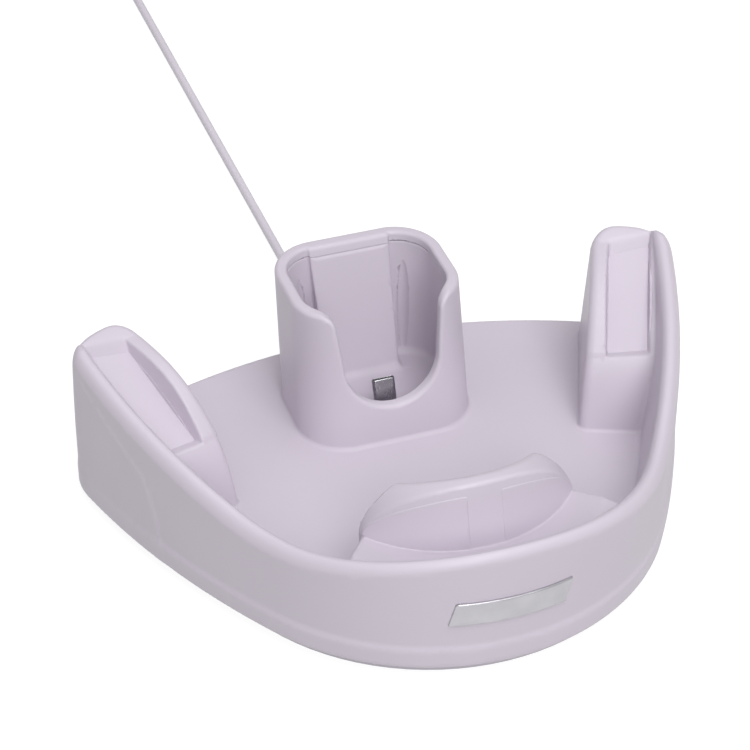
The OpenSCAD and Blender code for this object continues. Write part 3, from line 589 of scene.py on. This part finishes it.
def badge(x, y, z):
    rr = np.hypot(x - FRONT_C[0], y - FRONT_C[1])
    face = np.maximum(rr - FRONT_R - 0.8, FRONT_R - 0.6 - rr)
    u = x - (z - 27.5) * 0.27
    bar = rmax(np.abs(u) - 20.0, np.abs(z - 27.5) - 4.5, 0.5)
    return np.maximum(rmax(face, bar, 0.35), y)


# ---------------------------------------------------------------- meshing
def gradient(fn, p, e):
    out = np.empty_like(p)
    for i in range(3):
        a, b = p.copy(), p.copy()
        a[:, i] += e
        b[:, i] -= e
        out[:, i] = (fn(a[:, 0], a[:, 1], a[:, 2]) - fn(b[:, 0], b[:, 1], b[:, 2])) / (2 * e)
    return out


def sample(fn, lo, hi, h):
    axes = [np.arange(lo[i], hi[i] + h, h, dtype=np.float32) for i in range(3)]
    x, y, z = axes[0][:, None, None], axes[1][None, :, None], axes[2][None, None, :]
    v = np.empty((len(axes[0]), len(axes[1]), len(axes[2])), np.float32)
    step = max(1, 2000000 // (v.shape[1] * v.shape[2]))
    for i in range(0, v.shape[0], step):
        v[i:i + step] = fn(x[i:i + step], y, z)
    return v


def solid(name, fn, lo, hi, h, slot, body, *nodes, axes=None, adapt=0.01):
    """Meshes the zero level of fn between two corners, settles the points on it and takes its normals."""
    band = 3 * h
    v = np.clip(sample(fn, lo, hi, h), -band, band)
    grid = openvdb.FloatGrid(band)
    grid.copyFromArray(v)
    pts, tris, quads = grid.convertToPolygons(isovalue=0.0, adaptivity=adapt)
    p = pts.astype(np.float64) * h + np.array(lo, float)
    for _ in range(3):
        d = fn(p[:, 0], p[:, 1], p[:, 2])
        g = gradient(fn, p, 0.15 * h)
        n2 = np.maximum((g * g).sum(1), 0.05)
        move = g * (d / n2)[:, None]
        far = np.linalg.norm(move, axis=1)
        move *= np.minimum(1.0, 0.4 * h / np.maximum(far, 1e-9))[:, None]
        p -= move
    normal = gradient(fn, p, 0.3 * h)
    normal /= np.maximum(np.linalg.norm(normal, axis=1), 1e-9)[:, None]
    if axes:
        p = p @ axes[0] + axes[1]
        normal = normal @ axes[0]
    faces = [tuple(int(i) for i in f) for f in tris] + [tuple(int(i) for i in f) for f in quads]
    mesh = bpy.data.meshes.new(name)
    mesh.from_pydata([tuple(q) for q in p * MM], [], faces)
    mesh.update()
    first = mesh.polygons[0]
    away = sum((Vector(f.normal).dot(Vector(normal[f.vertices[0]])) for f in list(mesh.polygons)[:200]))
    if away < 0:
        mesh.flip_normals()
    mesh.polygons.foreach_set("use_smooth", [True] * len(mesh.polygons))
    mesh.normals_split_custom_set_from_vertices([tuple(q) for q in normal])
    obj = bpy.data.objects.new(name, mesh)
    bpy.context.scene.collection.objects.link(obj)
    mesh.materials.append(MATS[slot])
    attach(obj, body)
    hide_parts(*nodes)
    print("solid", name, len(p), len(faces))
    return obj


FINE = 1.0
solid("housing_body", housing, (-112, -90, 3), (112, 90, 66), 0.8 * FINE, "housing", "dock", "top_housing")
solid("pocket_body", pocket_shell, (-34, 15, 7), (34, 86, 66), 0.5 * FINE, "housing", "dock", "pocket_shell")
solid("pocket_lining", pocket_liner, (-34, 15, 12), (34, 86, 61), 0.5 * FINE, "liner", "dock", "pocket_liner")
axes, origin = ramp_axes()
flip = np.array((-1.0, 1.0, 1.0))
for side, sign in (("right", np.ones(3)), ("left", flip)):
    solid(side + "_post_cushion", post_pad, (4.5, 0, -6), (23.5, 56, 2), 0.2 * FINE, "pads", "dock",
          side + "_post_pad", axes=(axes * sign, origin * sign))
for side, x0, x1 in (("right", 4, 38), ("left", -38, -4)):
    solid(side + "_rest_cushion", rest_pad, (x0, -68, 33), (x1, -38, 54), 0.25 * FINE, "pads", "dock",
          side + "_rest_pad")
solid("silver_bar", badge, (-24, -90, 21), (24, -80, 34), 0.3 * FINE, "badge", "dock", "badge")


# ---------------------------------------------------------------- lofted pieces
def skin(name, rings, slot, body, *nodes):
    """Closed tube: rings of equal length joined in order, the last to the first."""
    n, m = len(rings), len(rings[0])
    points = [tuple(q * MM for q in point) for ring in rings for point in ring]
    faces = []
    for i in range(n):
        for k in range(m):
            j, l = (i + 1) % n, (k + 1) % m
            faces.append((i * m + k, i * m + l, j * m + l, j * m + k))
    mesh = bpy.data.meshes.new(name)
    mesh.from_pydata(points, [], faces)
    work = bmesh.new()
    work.from_mesh(mesh)
    bmesh.ops.recalc_face_normals(work, faces=work.faces)
    work.to_mesh(mesh)
    work.free()
    mesh.polygons.foreach_set("use_smooth", [True] * len(mesh.polygons))
    mesh.set_sharp_from_angle(angle=math.radians(40))
    obj = bpy.data.objects.new(name, mesh)
    bpy.context.scene.collection.objects.link(obj)
    mesh.materials.append(MATS[slot])
    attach(obj, body)
    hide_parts(*nodes)
    return obj


def slot_ring(width, thick, pz, count=56):
    """Round-ended slot across the plug, at height pz along it."""
    ring = []
    for k in range(count):
        a = 2 * math.pi * (k + 0.5) / count
        px = math.copysign((width - thick) / 2, math.cos(a)) + thick / 2 * math.cos(a)
        py = thick / 2 * math.sin(a)
        ring.append((px, PIN_Y + py * math.cos(PLUG_LEAN) + pz * math.sin(PLUG_LEAN),
                     PIN_Z - py * math.sin(PLUG_LEAN) + pz * math.cos(PLUG_LEAN)))
    return ring


def make_plug_shell():
    """Drawn shell with a rolled-in tip."""
    wide, thick, low, wall, roll = 8.34, 2.56, 2.0, 0.3, 0.32
    steps = [(0.0, low), (0.0, PLUG_TIP - roll)]
    for k in range(1, 7):
        a = math.radians(15 * k)
        steps.append((roll * 0.8 * (1 - math.cos(a)), PLUG_TIP - roll + roll * math.sin(a)))
    steps += [(wall, PLUG_TIP - 0.12), (wall, PLUG_TIP - 0.5), (wall, low)]
    return skin("plug_sleeve", [slot_ring(wide - 2 * t, thick - 2 * t, z) for t, z in steps],
                "contact_shell", "rocker", "plug_shell")


def make_relief():
    """Tapered strain relief with ring grooves, its collar held in the housing's slot."""
    steps = [(78.2, 2.4), (81.0, 2.4), (81.0, 3.0), (88.0, 3.0)]
    for k in range(7):
        y = 89.6 + 3.0 * k
        r = 3.0 - 0.7 * (y - 88.0) / 24.0
        steps += [(y, r), (y + 0.25, r - 0.4), (y + 1.05, r - 0.45), (y + 1.3, r - 0.05)]
    steps += [(111.3, 2.3), (111.8, 2.2), (112.0, 1.95), (112.0, 1.82), (78.2, 1.82)]
    turns = [k * math.pi / 20 for k in range(40)]
    rings = [[(r * math.cos(a), y, CORD_Z + r * math.sin(a)) for a in turns] for y, r in steps]
    return skin("relief_sleeve", rings, "relief", "dock", "strain_relief")


make_plug_shell()
relief = make_relief()


# ---------------------------------------------------------------- coil tie and USB plug
def rounded(a, b, half_a, half_b, r):
    """Rounded rectangle in two coordinates."""
    qa, qb = np.abs(a) - half_a + r, np.abs(b) - half_b + r
    return np.hypot(np.maximum(qa, 0), np.maximum(qb, 0)) + np.minimum(np.maximum(qa, qb), 0) - r


def tie(u, v, z):
    """Strap round the coil's section; u runs outwards from the coil's middle."""
    bundle = rounded(u - 21.6, z - 4.55, 7.35, 3.7, 1.8)
    return rmax(np.abs(bundle - 0.4) - 0.4, np.abs(v) - 4.0, 0.3)


def usb_body(x, y, z):
    """Overmoulded plug with a shallow ribbed grip above and below."""
    x, y, z = x - 61.5, y - 404.0, z - 3.8
    body = rmax(rounded(x, z, 7.7, 3.8, 2.4), np.abs(y) - 12.0, 1.4)
    grip = (np.sqrt((x / 5.4) ** 2 + ((y + 1.0) / 8.5) ** 2 + ((np.abs(z) - 5.2) / 2.0) ** 2) - 1) * 2.0
    ribs = 0.25 * np.maximum(0, np.cos(y * 2 * math.pi / 2.4))
    return cut(body, grip + ribs, 0.4)


turn = math.radians(-120)
tie_axes = np.array([(math.cos(turn), math.sin(turn), 0), (-math.sin(turn), math.cos(turn), 0), (0, 0, 1)])
strap = solid("tie_strap", tie, (12, -5, -0.5), (31, 5, 10), 0.25 * FINE, "tie", "dock", "coil_tie",
              axes=(tie_axes, np.array((COIL_X, COIL_Y, 0.0))))
usb = solid("usb_overmould", usb_body, (52, 391, -0.5), (71, 417, 8.5), 0.35 * FINE, "plug_body", "dock",
            "usb_plug_body")


# ---------------------------------------------------------------- floor and light
LIGHT_TARGET = (0, 0, 0.02)
FLOOR_HALF, FLOOR_SHADE, FLOOR_GLOW = 6.0, 0.25, 0.86


def make_floor():
    """White table: mostly self-lit, and it throws no diffuse light back, which make_world stands in for."""
    mesh = bpy.data.meshes.new("floor")
    s = FLOOR_HALF
    mesh.from_pydata([(-s, -s, 0), (s, -s, 0), (s, s, 0), (-s, s, 0)], [], [(0, 1, 2, 3)])
    obj = bpy.data.objects.new("floor", mesh)
    bpy.context.scene.collection.objects.link(obj)
    mat, tree, bsdf = new_material("floor_white")
    bsdf.inputs["Base Color"].default_value = (FLOOR_SHADE, FLOOR_SHADE, FLOOR_SHADE, 1.0)
    bsdf.inputs["Emission Color"].default_value = (1.0, 1.0, 1.0, 1.0)
    bsdf.inputs["Emission Strength"].default_value = FLOOR_GLOW
    bsdf.inputs["Roughness"].default_value = 0.9
    bsdf.inputs["Specular IOR Level"].default_value = 0.1
    mesh.materials.append(mat)
    obj.visible_diffuse = False


def make_light(name, place, energy, size):
    """White disk of the given width in metres, aimed at the stand."""
    data = bpy.data.lights.new(name, "AREA")
    data.energy = energy
    data.shape = "DISK"
    data.size = size
    obj = bpy.data.objects.new(name, data)
    bpy.context.scene.collection.objects.link(obj)
    obj.location = place
    obj.rotation_mode = "QUATERNION"
    obj.rotation_quaternion = (Vector(LIGHT_TARGET) - Vector(place)).to_track_quat("-Z", "Y")


def make_world():
    """White studio: bright overhead, dimmer at eye level, and the light the white table throws back up."""
    world = bpy.data.worlds.new("studio")
    bpy.context.scene.world = world
    world.use_nodes = True
    tree = world.node_tree
    sky = next(n for n in tree.nodes if n.type == "BACKGROUND")
    up = tree.nodes.new("ShaderNodeSeparateXYZ")
    tree.links.new(tree.nodes.new("ShaderNodeTexCoord").outputs["Generated"], up.inputs[0])
    total = tree.nodes.new("ShaderNodeMath")
    tree.links.new(spread(tree, up.outputs["Z"], 0.50, 0.28, -0.05, 0.05), total.inputs[0])
    tree.links.new(spread(tree, up.outputs["Z"], 0.0, 0.40, 0.1, 0.8), total.inputs[1])
    tree.links.new(total.outputs[0], sky.inputs["Strength"])
    sky.inputs["Color"].default_value = (1.0, 1.0, 1.0, 1.0)


make_floor()
make_world()
make_light("key", (0.12, -0.75, 1.40), 8.0, 0.9)
make_light("fill", (-0.15, -1.20, 0.75), 6.0, 0.6)
make_light("top", (0.25, 0.1, 1.7), 2.5, 1.0)

print("cord length", cord_length)
